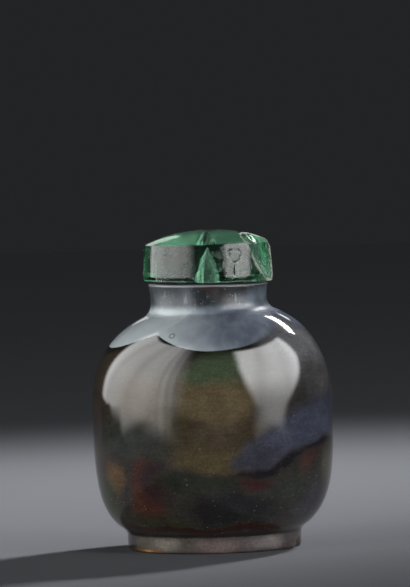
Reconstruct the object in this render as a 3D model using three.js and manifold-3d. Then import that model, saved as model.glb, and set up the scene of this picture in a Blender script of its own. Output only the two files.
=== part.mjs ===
// A small glass snuff bottle with its stopper, standing on its foot ring.
// Units are millimetres, +Z is up, +X is the bottle's right and -Y its front.
// The origin is the middle of the foot ring's contact plane.
//
// bottle      one thick-walled glass vessel: foot ring, barrel body, neck and lip, hollow and open at the mouth
// glass_cap   the stopper's domed glass cap, drilled from below, with an old flake lost from its right side
// cork_plug   the short cork under the cap, which closes the bore
import * as THREE from "three";
import { mergeVertices } from "three/addons/utils/BufferGeometryUtils.js";
import Module from "manifold-3d";

// ---- driving dimensions ----
const GAP = 0.35; // clearance between pieces that rest on or in one another
const TURNS = 56; // facets round the bottle and the cap

const FOOT = { radius: 14.8, height: 3.1, edge: 0.55, inner: 12.5, recess: 1.3, slope: 3 };
const NECK = { base: 40.9, baseRadius: 9.9, fillet: 0.7, lip: 45.2, lipRadius: 10.15, edge: 0.35 };
const BORE = { radius: 3.2, edge: 0.3 };

// Body and cavity are barrels: superellipses above and below their widest height.
const BODY = {
  middle: 25, radius: 20.5,
  above: { rise: 17.2, power: 2.2 },
  below: { rise: 23.6, power: 4 },
};
const CAVITY = {
  middle: 24, radius: 16.2,
  above: { rise: 13.6, power: 2.2 },
  below: { rise: 18, power: 3.2 },
};

const CAP = { bottomRadius: 11.1, rimRadius: 10.75, side: 6.45, dome: 2.2, domePower: 2.4, bevel: 0.25 };
const SOCKET = { radius: 1.3, depth: 5.6, power: 1.7 };
const CORK = { topRadius: 2.85, bottomRadius: 2.6, length: 3, bevel: 0.25 };

// How far the hand-ground shapes depart from turned ones.
const FLATTEN = 0.767; // the share kept, front to back, of what stands out beyond the neck
const BELLY_SHIFT = 0.2; // the body sits this far to the right of the foot and neck
const SHOULDER_LIFT = 0.045; // the shoulder rises this much for each millimetre to the right
const SHOULDER_SWELL = 0.0012; // and this much for its square, which makes the right shoulder full
const DOME_LIFT = 0.013; // the cap's dome rises this much for each millimetre to the right
const LIP_FALL = 0.015; // the lip falls this much for each millimetre to the right
const UNDERSIDE_FALL = 0.018; // and the cap's underside this much

// Old damage. Each scar is left by an ellipsoid that stands at an azimuth, in degrees from the front
// towards the right, and a distance out from the axis, with its face tilted up and turned by an angle.
const CAP_SCARS = [
  { azimuth: 68, out: 13.8, height: 53.5, tilt: 13, turn: 30, deep: 5.3, across: 9.4, along: 17 },
  { azimuth: 69, out: 10.3, height: 54.8, tilt: 59, turn: 20, deep: 3.4, across: 10.3, along: 5.8 },
  { azimuth: 92, out: 11.7, height: 53, tilt: 38, turn: 0, deep: 2, across: 4.6, along: 3.4 },
];
const FOOT_CHIP = { azimuth: 74, out: 15.4, height: 0.4, tilt: 0, turn: 0, deep: 1.5, across: 1.5, along: 1.5 };

const degrees = Math.PI / 180;
const wasm = await Module();
wasm.setup();

// ---- profiles: points of (radius, height) ----

// One superellipse side of a barrel, from its widest point to where it has narrowed to a radius.
function barrelSide({ middle, radius }, { rise, power }, direction, narrowed, steps) {
  const last = Math.acos(Math.pow(narrowed / radius, power / 2));
  return Array.from({ length: steps + 1 }, (_, i) => {
    const angle = (last * i) / steps;
    return new THREE.Vector2(
      radius * Math.pow(Math.cos(angle), 2 / power),
      middle + direction * rise * Math.pow(Math.sin(angle), 2 / power),
    );
  });
}

// An arc about (r, h), from one angle to another in degrees.
function arc(r, h, radius, from, to, steps) {
  return Array.from({ length: steps + 1 }, (_, i) => {
    const angle = (from + ((to - from) * i) / steps) * degrees;
    return new THREE.Vector2(r + radius * Math.cos(angle), h + radius * Math.sin(angle));
  });
}

// The bottle's outside, from under the foot up the body and neck to the lip.
function outsideProfile() {
  const footToBody = FOOT.radius + 0.4;
  const bodyToNeck = NECK.baseRadius + 0.7;
  return [
    new THREE.Vector2(0, FOOT.recess),
    new THREE.Vector2(FOOT.inner - FOOT.slope, FOOT.recess),
    new THREE.Vector2(FOOT.inner - FOOT.slope / 4, FOOT.recess * 0.85),
    new THREE.Vector2(FOOT.inner, 0),
    ...arc(FOOT.radius - FOOT.edge, FOOT.edge, FOOT.edge, -90, 0, 3),
    new THREE.Vector2(FOOT.radius + 0.05, FOOT.height),
    ...barrelSide(BODY, BODY.below, -1, footToBody, 11).reverse(),
    ...barrelSide(BODY, BODY.above, 1, bodyToNeck, 11).slice(1),
    new THREE.Vector2(NECK.baseRadius + 0.12, NECK.base),
    new THREE.Vector2(NECK.baseRadius, NECK.base + NECK.fillet),
    ...arc(NECK.lipRadius - NECK.edge, NECK.lip - NECK.edge, NECK.edge, 0, 90, 3),
  ];
}

// The bottle's inside, from the mouth down the bore and round the cavity to its floor.
function insideProfile() {
  return [
    ...arc(BORE.radius + BORE.edge, NECK.lip - BORE.edge, BORE.edge, 90, 180, 2),
    ...barrelSide(CAVITY, CAVITY.above, 1, BORE.radius, 9).reverse(),
    ...barrelSide(CAVITY, CAVITY.below, -1, 0, 9).slice(1),
  ];
}

// The cap, up its drilled socket, out across the underside, up the side and over the dome.
function capProfile() {
  const bottom = NECK.lip + GAP;
  const rim = bottom + CAP.side;
  const steps = 8;
  const shares = Array.from({ length: steps + 1 }, (_, i) => i / steps);
  const socket = shares.map((share) => {
    const radius = SOCKET.radius * (1 - Math.pow(1 - share, SOCKET.power));
    return new THREE.Vector2(radius, bottom + SOCKET.depth * (1 - share));
  });
  const dome = shares.map((share) => {
    const rise = CAP.dome * (1 - Math.pow(1 - share, CAP.domePower));
    return new THREE.Vector2(CAP.rimRadius * (1 - share), rim + rise);
  });
  return [
    ...socket,
    new THREE.Vector2(CAP.bottomRadius - CAP.bevel, bottom),
    new THREE.Vector2(CAP.bottomRadius, bottom + CAP.bevel),
    ...dome,
  ];
}

function corkProfile() {
  const top = NECK.lip;
  const bottom = top - CORK.length;
  return [
    new THREE.Vector2(0, bottom),
    new THREE.Vector2(CORK.bottomRadius - CORK.bevel, bottom),
    new THREE.Vector2(CORK.bottomRadius, bottom + CORK.bevel),
    new THREE.Vector2(CORK.topRadius, top - CORK.bevel),
    new THREE.Vector2(CORK.topRadius - CORK.bevel, top),
    new THREE.Vector2(0, top),
  ];
}

// ---- shaping and cutting ----

// A profile turned about the Z axis.
function turned(profile, facets) {
  return new THREE.LatheGeometry(profile, facets).rotateX(Math.PI / 2);
}

// The geometry with each point moved to where a function of (x, y, z) puts it.
function reshaped(geometry, move) {
  const position = geometry.attributes.position;
  for (let i = 0; i < position.count; i++) {
    position.setXYZ(i, ...move(position.getX(i), position.getY(i), position.getZ(i)));
  }
  return geometry;
}

// 0 below one height, 1 above another, and smooth between them.
const ramp = THREE.MathUtils.smoothstep;

// Flattens the vessel front to back, and leaves its belly, shoulder and lip uneven.
function groundByHand(x, y, z) {
  const radius = Math.hypot(x, y);
  const beyond = Math.max(0, radius - NECK.baseRadius);
  const depth = radius > 0 ? 1 - (beyond * (1 - FLATTEN)) / radius : 1;
  const belly = ramp(z, FOOT.height, BODY.middle / 2) * (1 - ramp(z, BODY.middle, NECK.base));
  const lip = ramp(z, NECK.base, NECK.lip);
  const shoulder = ramp(z, BODY.middle, NECK.base) * (1 - lip);
  const rise = shoulder * (SHOULDER_LIFT * x + SHOULDER_SWELL * x * x) - lip * LIP_FALL * x;
  return [x + BELLY_SHIFT * belly, y * depth, z + rise];
}

// Raises the right of the cap's dome, but not its socket, and lowers the right of its underside.
function unevenCap(x, y, z) {
  const bottom = NECK.lip + GAP;
  const outside = Math.hypot(x, y) > SOCKET.radius || z > bottom + SOCKET.depth;
  const up = ramp(z, bottom, bottom + CAP.side);
  return [x, y, z + (outside ? DOME_LIFT * up : 0) * x - UNDERSIDE_FALL * (1 - up) * x];
}

// The geometry as a manifold solid, its shared vertices merged.
function solidOf(geometry) {
  const bare = geometry.clone();
  bare.deleteAttribute("normal");
  bare.deleteAttribute("uv");
  const merged = mergeVertices(bare, 1e-4);
  const mesh = new wasm.Mesh({
    numProp: 3,
    vertProperties: new Float32Array(merged.attributes.position.array),
    triVerts: new Uint32Array(merged.index.array),
  });
  return new wasm.Manifold(mesh);
}

// The glass that one scar lost.
function lostGlass({ azimuth, out, height, tilt, turn, deep, across, along }) {
  return new THREE.IcosahedronGeometry(1, 9)
    .scale(deep, across, along)
    .rotateX(turn * degrees)
    .rotateY(-tilt * degrees)
    .translate(out, 0, height)
    .rotateZ((azimuth - 90) * degrees);
}

// The geometry less what its scars lost.
function chipped(geometry, scars) {
  const left = scars.reduce((solid, scar) => solid.subtract(solidOf(lostGlass(scar))), solidOf(geometry));
  const mesh = left.getMesh();
  const result = new THREE.BufferGeometry();
  result.setAttribute("position", new THREE.BufferAttribute(new Float32Array(mesh.vertProperties), 3));
  result.setIndex(new THREE.BufferAttribute(new Uint32Array(mesh.triVerts), 1));
  result.computeVertexNormals();
  return result;
}

// ---- the pieces ----

function bottle() {
  const vessel = turned([...outsideProfile(), ...insideProfile()], TURNS);
  return chipped(reshaped(vessel, groundByHand), [FOOT_CHIP]);
}

function glassCap() {
  return chipped(reshaped(turned(capProfile(), TURNS), unevenCap), CAP_SCARS);
}

function corkPlug() {
  return turned(corkProfile(), TURNS / 2);
}

const bottleGlass = new THREE.MeshStandardMaterial({ color: 0x3f3b33, roughness: 0.12, metalness: 0 });
const capGlass = new THREE.MeshStandardMaterial({ color: 0x1f6a45, roughness: 0.06, metalness: 0 });
const cork = new THREE.MeshStandardMaterial({ color: 0x6b4a30, roughness: 0.9, metalness: 0 });

const snuffBottle = new THREE.Group();

function addPiece(name, geometry, material) {
  const piece = new THREE.Mesh(geometry, material);
  piece.name = name;
  snuffBottle.add(piece);
}

addPiece("bottle", bottle(), bottleGlass);
addPiece("glass_cap", glassCap(), capGlass);
addPiece("cork_plug", corkPlug(), cork);

export default snuffBottle;
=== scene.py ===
"""A squat snuff bottle of streaked, translucent glass under a chipped green glass cap.

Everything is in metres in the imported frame: +Z up, the bottle's front along -Y and its right along +X.
Azimuths are in degrees, from the front towards the right.
"""

from __future__ import annotations

import logging
import math
from dataclasses import dataclass
from enum import Enum

import bpy
import numpy as np
from mathutils import Matrix, Vector


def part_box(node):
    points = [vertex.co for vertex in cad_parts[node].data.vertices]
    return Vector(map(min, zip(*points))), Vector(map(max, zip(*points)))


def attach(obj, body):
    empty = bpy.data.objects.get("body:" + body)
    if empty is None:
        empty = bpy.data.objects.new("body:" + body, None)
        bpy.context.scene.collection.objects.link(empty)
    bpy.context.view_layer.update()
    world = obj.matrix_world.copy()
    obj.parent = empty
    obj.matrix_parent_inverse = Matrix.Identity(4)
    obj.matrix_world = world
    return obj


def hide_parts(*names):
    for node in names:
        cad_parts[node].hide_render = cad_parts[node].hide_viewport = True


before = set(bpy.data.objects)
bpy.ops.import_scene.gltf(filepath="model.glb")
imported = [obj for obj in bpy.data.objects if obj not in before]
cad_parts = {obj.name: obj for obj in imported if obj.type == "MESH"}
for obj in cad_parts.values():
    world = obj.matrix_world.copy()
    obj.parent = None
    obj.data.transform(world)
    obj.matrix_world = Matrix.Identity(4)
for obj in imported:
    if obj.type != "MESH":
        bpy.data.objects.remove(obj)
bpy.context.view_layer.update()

log = logging.getLogger("snuff_bottle")
MM = 0.001
FINER = 20  # trial points along a curve for each point that is kept


# ---------------------------------------------------------------- surfaces


def eased(value: np.ndarray, low: float, high: float) -> np.ndarray:
    """Smooth step: 0 below low, 1 above high, and 3t^2 - 2t^3 between them.

    Args:
        value: The numbers to ease.
        low: Where the step starts.
        high: Where it ends.

    Returns:
        Shares from 0 to 1.
    """
    share = np.clip((value - low) / (high - low), 0.0, 1.0)
    return share * share * (3.0 - 2.0 * share)


def line(start: tuple[float, float], end: tuple[float, float], count: int) -> np.ndarray:
    """Points of (radius, height) spaced evenly from start up to, but not at, end.

    Args:
        start: The first point.
        end: The point that the next stretch starts with.
        count: How many points.

    Returns:
        An array of count rows.
    """
    share = np.arange(count)[:, None] / count
    return np.array(start) * (1.0 - share) + np.array(end) * share


def arc(centre: tuple[float, float], radius: float, start: float, end: float, count: int) -> np.ndarray:
    """Points on a circle: centre + radius * (cos a, sin a), for angles a in degrees from start to end.

    Args:
        centre: The circle's middle, as (radius, height).
        radius: Its radius.
        start: The first angle.
        end: The last angle.
        count: How many points.

    Returns:
        An array of count rows.
    """
    angle = np.radians(np.linspace(start, end, count))
    return np.array(centre) + radius * np.stack([np.cos(angle), np.sin(angle)], axis=1)


def bend(start: np.ndarray, corner: tuple[float, float], end: np.ndarray, count: int) -> np.ndarray:
    """A quadratic curve (1-t)^2 start + 2t(1-t) corner + t^2 end, without its two end points.

    Args:
        start: Where the curve leaves.
        corner: The point that pulls it.
        end: Where it arrives.
        count: How many points.

    Returns:
        An array of count rows.
    """
    t = np.linspace(0.0, 1.0, count + 2)[1:-1, None]
    return (1 - t) ** 2 * start + 2 * t * (1 - t) * np.array(corner) + t**2 * end


def evenly(points: np.ndarray, count: int) -> np.ndarray:
    """The same curve with its points spaced evenly along its length.

    Args:
        points: Rows of (radius, height).
        count: How many points it gets, its two ends among them.

    Returns:
        An array of count rows.
    """
    along = np.concatenate([[0.0], np.cumsum(np.linalg.norm(np.diff(points, axis=0), axis=1))])
    stops = np.linspace(0.0, along[-1], count)
    return np.stack([np.interp(stops, along, points[:, 0]), np.interp(stops, along, points[:, 1])], axis=1)


@dataclass(frozen=True)
class Barrel:
    """A barrel-shaped profile, a superellipse above and another below its widest height, in millimetres."""

    middle: float
    radius: float
    rise_above: float
    power_above: float
    rise_below: float
    power_below: float

    def side(self, above: bool, narrowed: float, count: int) -> np.ndarray:
        """One side: r = R cos(a)^(2/p) and h = middle +- rise sin(a)^(2/p), from the widest point inwards.

        Args:
            above: Whether it is the upper side.
            narrowed: The radius at which it ends.
            count: How many points.

        Returns:
            An array of count rows of (radius, height).
        """
        rise, power = (self.rise_above, self.power_above) if above else (-self.rise_below, self.power_below)
        last = math.acos((narrowed / self.radius) ** (power / 2))
        angle = last * np.linspace(0.0, 1.0, FINER * count) ** (power / 2)
        cosine = np.clip(np.cos(angle), 0.0, 1.0)
        radius = self.radius * cosine ** (2 / power)
        return evenly(np.stack([radius, self.middle + rise * np.sin(angle) ** (2 / power)], axis=1), count)


def turned(profile: np.ndarray, azimuth: np.ndarray) -> np.ndarray:
    """A profile turned about the Z axis: (r sin a, -r cos a, h) for each azimuth a.

    Args:
        profile: Rows of (radius, height), the first and the last on the axis.
        azimuth: Azimuths in radians, going round once without repeating.

    Returns:
        A grid of points, (rows, columns, 3).
    """
    radius, height = profile[:, :1], profile[:, 1:]
    flat = np.zeros_like(azimuth)[None]
    return np.stack([radius * np.sin(azimuth), -radius * np.cos(azimuth), height + flat], axis=2)


@dataclass(frozen=True)
class Drift:
    """A smooth random field, the scaled sum of a few sine waves with seeded directions and phases."""

    size: float
    seed: int
    waves: int = 9

    def at(self, points: np.ndarray) -> np.ndarray:
        """The field's value: the sum of sin(k.p + phase), scaled to spread about 1 either way.

        Args:
            points: Positions, (..., 3), in the unit of size.

        Returns:
            Values, (...).
        """
        random = np.random.default_rng(self.seed)
        heading = random.normal(size=(self.waves, 3))
        heading /= np.linalg.norm(heading, axis=1, keepdims=True)
        rate = random.uniform(0.6, 1.5, size=(self.waves, 1)) * 2 * math.pi / self.size
        phase = random.uniform(0, 2 * math.pi, size=self.waves)
        total = np.zeros(points.shape[:-1])
        for way, turn in zip(heading * rate, phase):
            total += np.sin(points @ way + turn)
        return total / math.sqrt(self.waves / 2)


def drifted(values: float | np.ndarray, grid: np.ndarray, *waves: tuple[float, int, float]) -> np.ndarray:
    """Values that stray from place to place: the sum of the values and of each wave's reach times its field.

    Args:
        values: The values without their drift.
        grid: Where they are, (..., 3).
        waves: For each wave, its field's size and seed, and its reach.

    Returns:
        Values, (...).
    """
    for size, seed, reach in waves:
        values = values + reach * Drift(size, seed).at(grid)
    return values


@dataclass(frozen=True)
class Scar:
    """Where an ellipsoid's worth of glass was lost. Lengths are millimetres and angles degrees.

    Its rings spread from ring_top of the way up it, with ring_rate radians to the millimetre.
    """

    azimuth: float
    out: float
    height: float
    tilt: float
    turn: float
    deep: float
    across: float
    along: float
    ring_top: float = 0.6
    ring_rate: float = 3.6

    def matrix(self) -> np.ndarray:
        """The ellipsoid's axes as rows: turned about X, tilted up about Y, then swung to its azimuth.

        Returns:
            Three unit rows, for its deep, across and along sizes.
        """
        spin = (
            Matrix.Rotation(math.radians(self.azimuth - 90), 3, "Z")
            @ Matrix.Rotation(math.radians(-self.tilt), 3, "Y")
            @ Matrix.Rotation(math.radians(self.turn), 3, "X")
        )
        return np.array(spin.transposed())

    def centre(self) -> np.ndarray:
        """The ellipsoid's middle."""
        swing = math.radians(self.azimuth)
        return np.array([self.out * math.sin(swing), -self.out * math.cos(swing), self.height])

    def carve(
        self, points: np.ndarray, heart: np.ndarray, ripple: float = 0.0
    ) -> tuple[np.ndarray, np.ndarray, np.ndarray]:
        """Draws each point back along its ray from the heart to where the ray enters the ellipsoid.

        The entry is the smaller root t of |o + t d| = 1, for the ray's start o and way d in the
        ellipsoid's own axes. A ripple spreads rings from the scar's top, as broken glass has.

        Args:
            points: Surface points, (..., 3).
            heart: Points inside the solid that the rays start from, one or as many as the points.
            ripple: The height of the rings.

        Returns:
            The carved points, how far each was drawn back, and how far outside the ellipsoid each was.
        """
        axes = self.matrix().T / np.array([self.deep, self.across, self.along])
        start = (heart - self.centre()) @ axes
        way = (points - heart) @ axes
        start = np.broadcast_to(start, way.shape)
        a = (way * way).sum(-1)
        b = (start * way).sum(-1)
        root = b * b - a * ((start * start).sum(-1) - 1.0)
        entry = np.where(root > 0, (-b - np.sqrt(np.maximum(root, 0))) / np.maximum(a, 1e-12), 2.0)
        inside = (entry > 0) & (entry < 1)
        share = np.where(inside, entry, 1.0)
        reach = np.linalg.norm(points - heart, axis=-1)
        pulled = (1 - share) * reach
        top = self.centre() + self.matrix()[2] * self.along * self.ring_top
        from_top = np.linalg.norm(points - top, axis=-1)
        rings = np.sin(from_top * self.ring_rate) * ripple * eased(pulled, 0.1, 0.6)
        share = share - np.where(inside, (rings + ripple) / reach, 0.0)
        outside = (np.linalg.norm((points - self.centre()) @ axes, axis=-1) - 1.0) * self.across
        return heart + (points - heart) * share[..., None], np.where(inside, pulled, 0.0), np.abs(outside)


def placed(name: str, data: bpy.types.ID) -> bpy.types.Object:
    """A new object that holds some data, linked to the scene.

    Args:
        name: The object's name.
        data: Its mesh, light or camera.

    Returns:
        The object.
    """
    item = bpy.data.objects.new(name, data)
    bpy.context.scene.collection.objects.link(item)
    return item


def skin(name: str, grid: np.ndarray) -> bpy.types.Object:
    """Makes a closed mesh of a grid whose columns go round and whose first and last rows are poles.

    Args:
        name: The piece's name.
        grid: Points in millimetres, (rows, columns, 3).

    Returns:
        The new object, at the origin.
    """
    rows, columns = grid.shape[:2]
    ring = np.arange(columns)
    beside = (ring + 1) % columns
    starts = 1 + np.arange(rows - 3)[:, None] * columns
    above = starts + columns
    quads = np.stack([starts + ring, starts + beside, above + beside, above + ring], axis=2)
    last = 1 + (rows - 3) * columns
    tail = 1 + (rows - 2) * columns
    bottom = np.stack([np.zeros_like(ring), 1 + beside, 1 + ring], axis=1)
    top = np.stack([last + ring, last + beside, np.full_like(ring, tail)], axis=1)
    mesh = bpy.data.meshes.new(name)
    faces = quads.reshape(-1, 4).tolist() + bottom.tolist() + top.tolist()
    mesh.from_pydata(loose(grid).tolist(), [], faces)
    mesh.polygons.foreach_set("use_smooth", np.ones(len(faces), dtype=bool))
    mesh.update()
    return placed(name, mesh)


def loose(grid: np.ndarray, scale: float = MM) -> np.ndarray:
    """The grid's values vertex by vertex, each pole once, times scale."""
    middle = grid[1:-1].reshape(-1, *grid.shape[2:])
    return np.concatenate([grid[:1, 0], middle, grid[-1:, 0]]) * scale


def note(piece: bpy.types.Object, name: str, grid: np.ndarray) -> None:
    """Stores a value or a colour at each vertex of a skin, for its finish to read.

    Args:
        piece: The object that skin made.
        name: The attribute's name.
        grid: Values (rows, columns) or colours (rows, columns, 3).
    """
    values = loose(grid, 1.0)
    if values.ndim == 1:
        layer = piece.data.attributes.new(name, "FLOAT", "POINT")
        layer.data.foreach_set("value", values.astype(np.float32))
        return
    layer = piece.data.attributes.new(name, "FLOAT_COLOR", "POINT")
    rgba = np.concatenate([values, np.ones((len(values), 1))], axis=1)
    layer.data.foreach_set("color", rgba.astype(np.float32).ravel())


# ---------------------------------------------------------------- colours and node graphs


def tint(code: str) -> tuple[float, float, float]:
    """The linear colour of an sRGB code such as "4a3c2e"."""
    parts = [int(code[i : i + 2], 16) / 255 for i in (0, 2, 4)]
    return tuple(part / 12.92 if part <= 0.04045 else ((part + 0.055) / 1.055) ** 2.4 for part in parts)


def fill(node: bpy.types.Node, **sockets: float | tuple) -> None:
    """Sets a node's inputs to constant values, _ standing for a space in their names."""
    for name, value in sockets.items():
        node.inputs[name.replace("_", " ")].default_value = value


class Graph:
    """A material's node tree, with short calls for the nodes that the finishes share."""

    def __init__(self, name: str) -> None:
        """Starts a material that has only its output and a Principled shader.

        Args:
            name: The material's name.
        """
        self.material = bpy.data.materials.new(name)
        self.material.use_nodes = True
        self.nodes = self.material.node_tree.nodes
        self.links = self.material.node_tree.links
        self.shader = self.nodes["Principled BSDF"]
        self.output = self.nodes["Material Output"]
        self.place = self.nodes.new("ShaderNodeTexCoord").outputs["Object"]

    def plain(self, **sockets: float | tuple) -> None:
        """Sets inputs of the Principled shader to constant values."""
        fill(self.shader, **sockets)

    def feed(self, source: bpy.types.NodeSocket, socket: str) -> None:
        """Links a node's output to a socket of the Principled shader."""
        self.links.new(source, self.shader.inputs[socket])

    def node(self, kind: str, *inputs: object, **settings: object) -> bpy.types.Node:
        """Adds a node.

        Args:
            kind: The node's type, without its ShaderNode prefix.
            inputs: For each input in turn, a socket to link, a value to set, or None to skip.
            settings: The node's own properties.

        Returns:
            The node.
        """
        node = self.nodes.new("ShaderNode" + kind)
        for name, value in settings.items():
            setattr(node, name, value)
        for socket, value in zip(node.inputs, inputs):
            if isinstance(value, bpy.types.NodeSocket):
                self.links.new(value, socket)
            elif value is not None:
                socket.default_value = value
        return node

    def maths(self, operation: str, *values: object) -> bpy.types.NodeSocket:
        """The result of a Math node on values or sockets."""
        return self.node("Math", *values, operation=operation).outputs[0]

    def times(self, first: object, second: object) -> bpy.types.NodeSocket:
        """The product of two values or sockets."""
        return self.maths("MULTIPLY", first, second)

    def stored(self, name: str, colour: bool = False) -> bpy.types.NodeSocket:
        """An attribute that note stored on the piece."""
        return self.node("Attribute", attribute_name=name).outputs["Color" if colour else "Fac"]

    def step(
        self, value: object, low: float, high: float, start: float = 0.0, end: float = 1.0
    ) -> bpy.types.NodeSocket:
        """A smooth step of value from start at low to end at high.

        Args:
            value: A value or socket.
            low: Where the step starts.
            high: Where it ends.
            start: What it gives up to low.
            end: What it gives from high on.

        Returns:
            A socket.
        """
        node = self.node("MapRange", value, interpolation_type="SMOOTHSTEP")
        fill(node, From_Min=low, From_Max=high, To_Min=start, To_Max=end)
        return node.outputs["Result"]

    def along(
        self, axis: str, low: float, high: float, start: float = 0.0, end: float = 1.0
    ) -> bpy.types.NodeSocket:
        """A smooth step of one Object coordinate, between two places on its axis in millimetres.

        Args:
            axis: X, Y or Z.
            low: Where the step starts.
            high: Where it ends.
            start: What it gives up to low.
            end: What it gives from high on.

        Returns:
            A socket.
        """
        place = self.node("SeparateXYZ", self.place).outputs[axis]
        return self.step(place, low * MM, high * MM, start, end)

    def noise(
        self, size: float, detail: float = 3.0, rough: float = 0.55, stretch: tuple | None = None
    ) -> bpy.types.NodeSocket:
        """Noise on Object coordinates.

        Args:
            size: The size of its features in millimetres.
            detail: How many octaves finer it goes.
            rough: How strong those octaves are.
            stretch: How much smaller it is along each axis.

        Returns:
            A socket from 0 to 1.
        """
        place = self.place
        if stretch:
            mapping = self.node("Mapping", place)
            fill(mapping, Scale=stretch)
            place = mapping.outputs[0]
        node = self.node("TexNoise", place)
        fill(node, Scale=1 / (size * MM), Detail=detail, Roughness=rough)
        return node.outputs["Fac"]

    def blend(self, share: object, first: object, second: object, way: str = "MIX") -> bpy.types.NodeSocket:
        """Mixes two colours, each a socket or a linear colour, by a share.

        Args:
            share: How much of the second there is, a value or socket.
            first: The colour at 0.
            second: The colour at 1.
            way: How the two are mixed.

        Returns:
            A colour socket.
        """
        node = self.node("Mix", data_type="RGBA", blend_type=way)
        named = {"Factor_Float": share, "A_Color": first, "B_Color": second}
        for socket in node.inputs:
            if socket.identifier not in named:
                continue
            value = named[socket.identifier]
            if isinstance(value, bpy.types.NodeSocket):
                self.links.new(value, socket)
            else:
                socket.default_value = (*value, 1.0) if isinstance(value, tuple) else value
        return next(socket for socket in node.outputs if socket.identifier == "Result_Color")

    def shade(self, colour: bpy.types.NodeSocket, *greys: bpy.types.NodeSocket) -> bpy.types.NodeSocket:
        """A colour multiplied by each grey in turn.

        Args:
            colour: The colour.
            *greys: The greys, 1 leaving it as it is.

        Returns:
            A colour socket.
        """
        for grey in greys:
            colour = self.blend(1.0, colour, grey, "MULTIPLY")
        return colour

    def specks(self, size: float, radius: float, kept: float) -> bpy.types.NodeSocket:
        """A mask of scattered round specks.

        Args:
            size: The mean distance between the cells that may hold one, in millimetres.
            radius: A speck's radius as a share of that distance.
            kept: The share of the cells that hold one.

        Returns:
            A socket that is 1 in a speck.
        """
        cells = self.node("TexVoronoi", self.place)
        fill(cells, Scale=1 / (size * MM))
        near = self.step(cells.outputs["Distance"], radius * 0.5, radius, 1.0, 0.0)
        chosen = self.maths("LESS_THAN", cells.outputs["Color"], kept)
        return self.times(near, chosen)

    def bump(self, height: bpy.types.NodeSocket, depth: float, strength: float = 1.0) -> None:
        """Feeds the shader a normal from a height.

        Args:
            height: A socket from 0 to 1.
            depth: How many millimetres a height of 1 stands for.
            strength: The share of the slope that counts.
        """
        node = self.node("Bump")
        fill(node, Strength=strength, Distance=depth * MM)
        self.links.new(height, node.inputs["Height"])
        self.feed(node.outputs[0], "Normal")


# ---------------------------------------------------------------- the bottle


@dataclass(frozen=True)
class Blotch:
    """A soft-edged oval of colour. Most stand for a streak in the glass; a few are painted highlights,
    reflections, sheen and shade.

    Its height and half sizes are millimetres, its azimuth and lean degrees, and soft is a share of its size.
    """

    azimuth: float
    height: float
    wide: float
    tall: float
    lean: float
    colour: str
    soft: float = 0.35
    strength: float = 1.0

    def share(self, across: np.ndarray, height: np.ndarray, girth: float) -> np.ndarray:
        """How much of the colour the oval takes: a smooth step on its own oval distance.

        Args:
            across: Azimuths in degrees.
            height: Heights.
            girth: The radius that turns an azimuth into a distance.

        Returns:
            Shares from 0 to 1.
        """
        turn = (across - self.azimuth + 180.0) % 360.0 - 180.0
        x = np.radians(turn) * girth
        y = height - self.height
        cosine, sine = math.cos(math.radians(self.lean)), math.sin(math.radians(self.lean))
        reach = np.hypot((x * cosine + y * sine) / self.wide, (y * cosine - x * sine) / self.tall)
        return self.strength * (1.0 - eased(reach, 1.0 - self.soft, 1.0 + self.soft))


def blotched(*rows: tuple) -> tuple[Blotch, ...]:
    """The blotches that rows of azimuth, height, wide, tall, lean, colour, soft and strength stand for."""
    return tuple(Blotch(*row) for row in rows)


def overlaid(
    ground: str, blotches: tuple[Blotch, ...], across: np.ndarray, height: np.ndarray, girth: float
) -> np.ndarray:
    """A ground colour with each blotch laid over the last.

    Args:
        ground: The ground's sRGB code.
        blotches: The blotches, the lowest first.
        across: Azimuths in degrees.
        height: Heights.
        girth: The radius that turns an azimuth into a distance.

    Returns:
        Linear colours, with a last axis of 3.
    """
    colour = np.broadcast_to(np.array(tint(ground)), (*across.shape, 3)).copy()
    for blotch in blotches:
        share = blotch.share(across, height, girth)[..., None]
        colour = colour * (1 - share) + np.array(tint(blotch.colour)) * share
    return colour


@dataclass(frozen=True)
class Lobe:
    """One scallop of the milky glass on the shoulder, between two azimuths in degrees, lowest at a third.

    Its notch is the height of its two ends, and it drops below that by drop. Its edge is soft millimetres
    wide at the lowest point and wider by fading at its ends.
    """

    start: float
    lowest: float
    end: float
    notch: float
    drop: float
    soft: float = 0.16
    fading: float = 0.0


class Streak(Enum):
    """The colours that the glass was streaked with."""

    SMOKE = "3b3732"
    OCHRE = "594b35"
    OLIVE = "3f4636"
    RED = "4a2c26"
    VIOLET = "40414f"
    GREY = "5d5b59"
    BLACK = "1d1d1f"
    AMBER = "66543a"
    BROWN = "453830"


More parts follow.
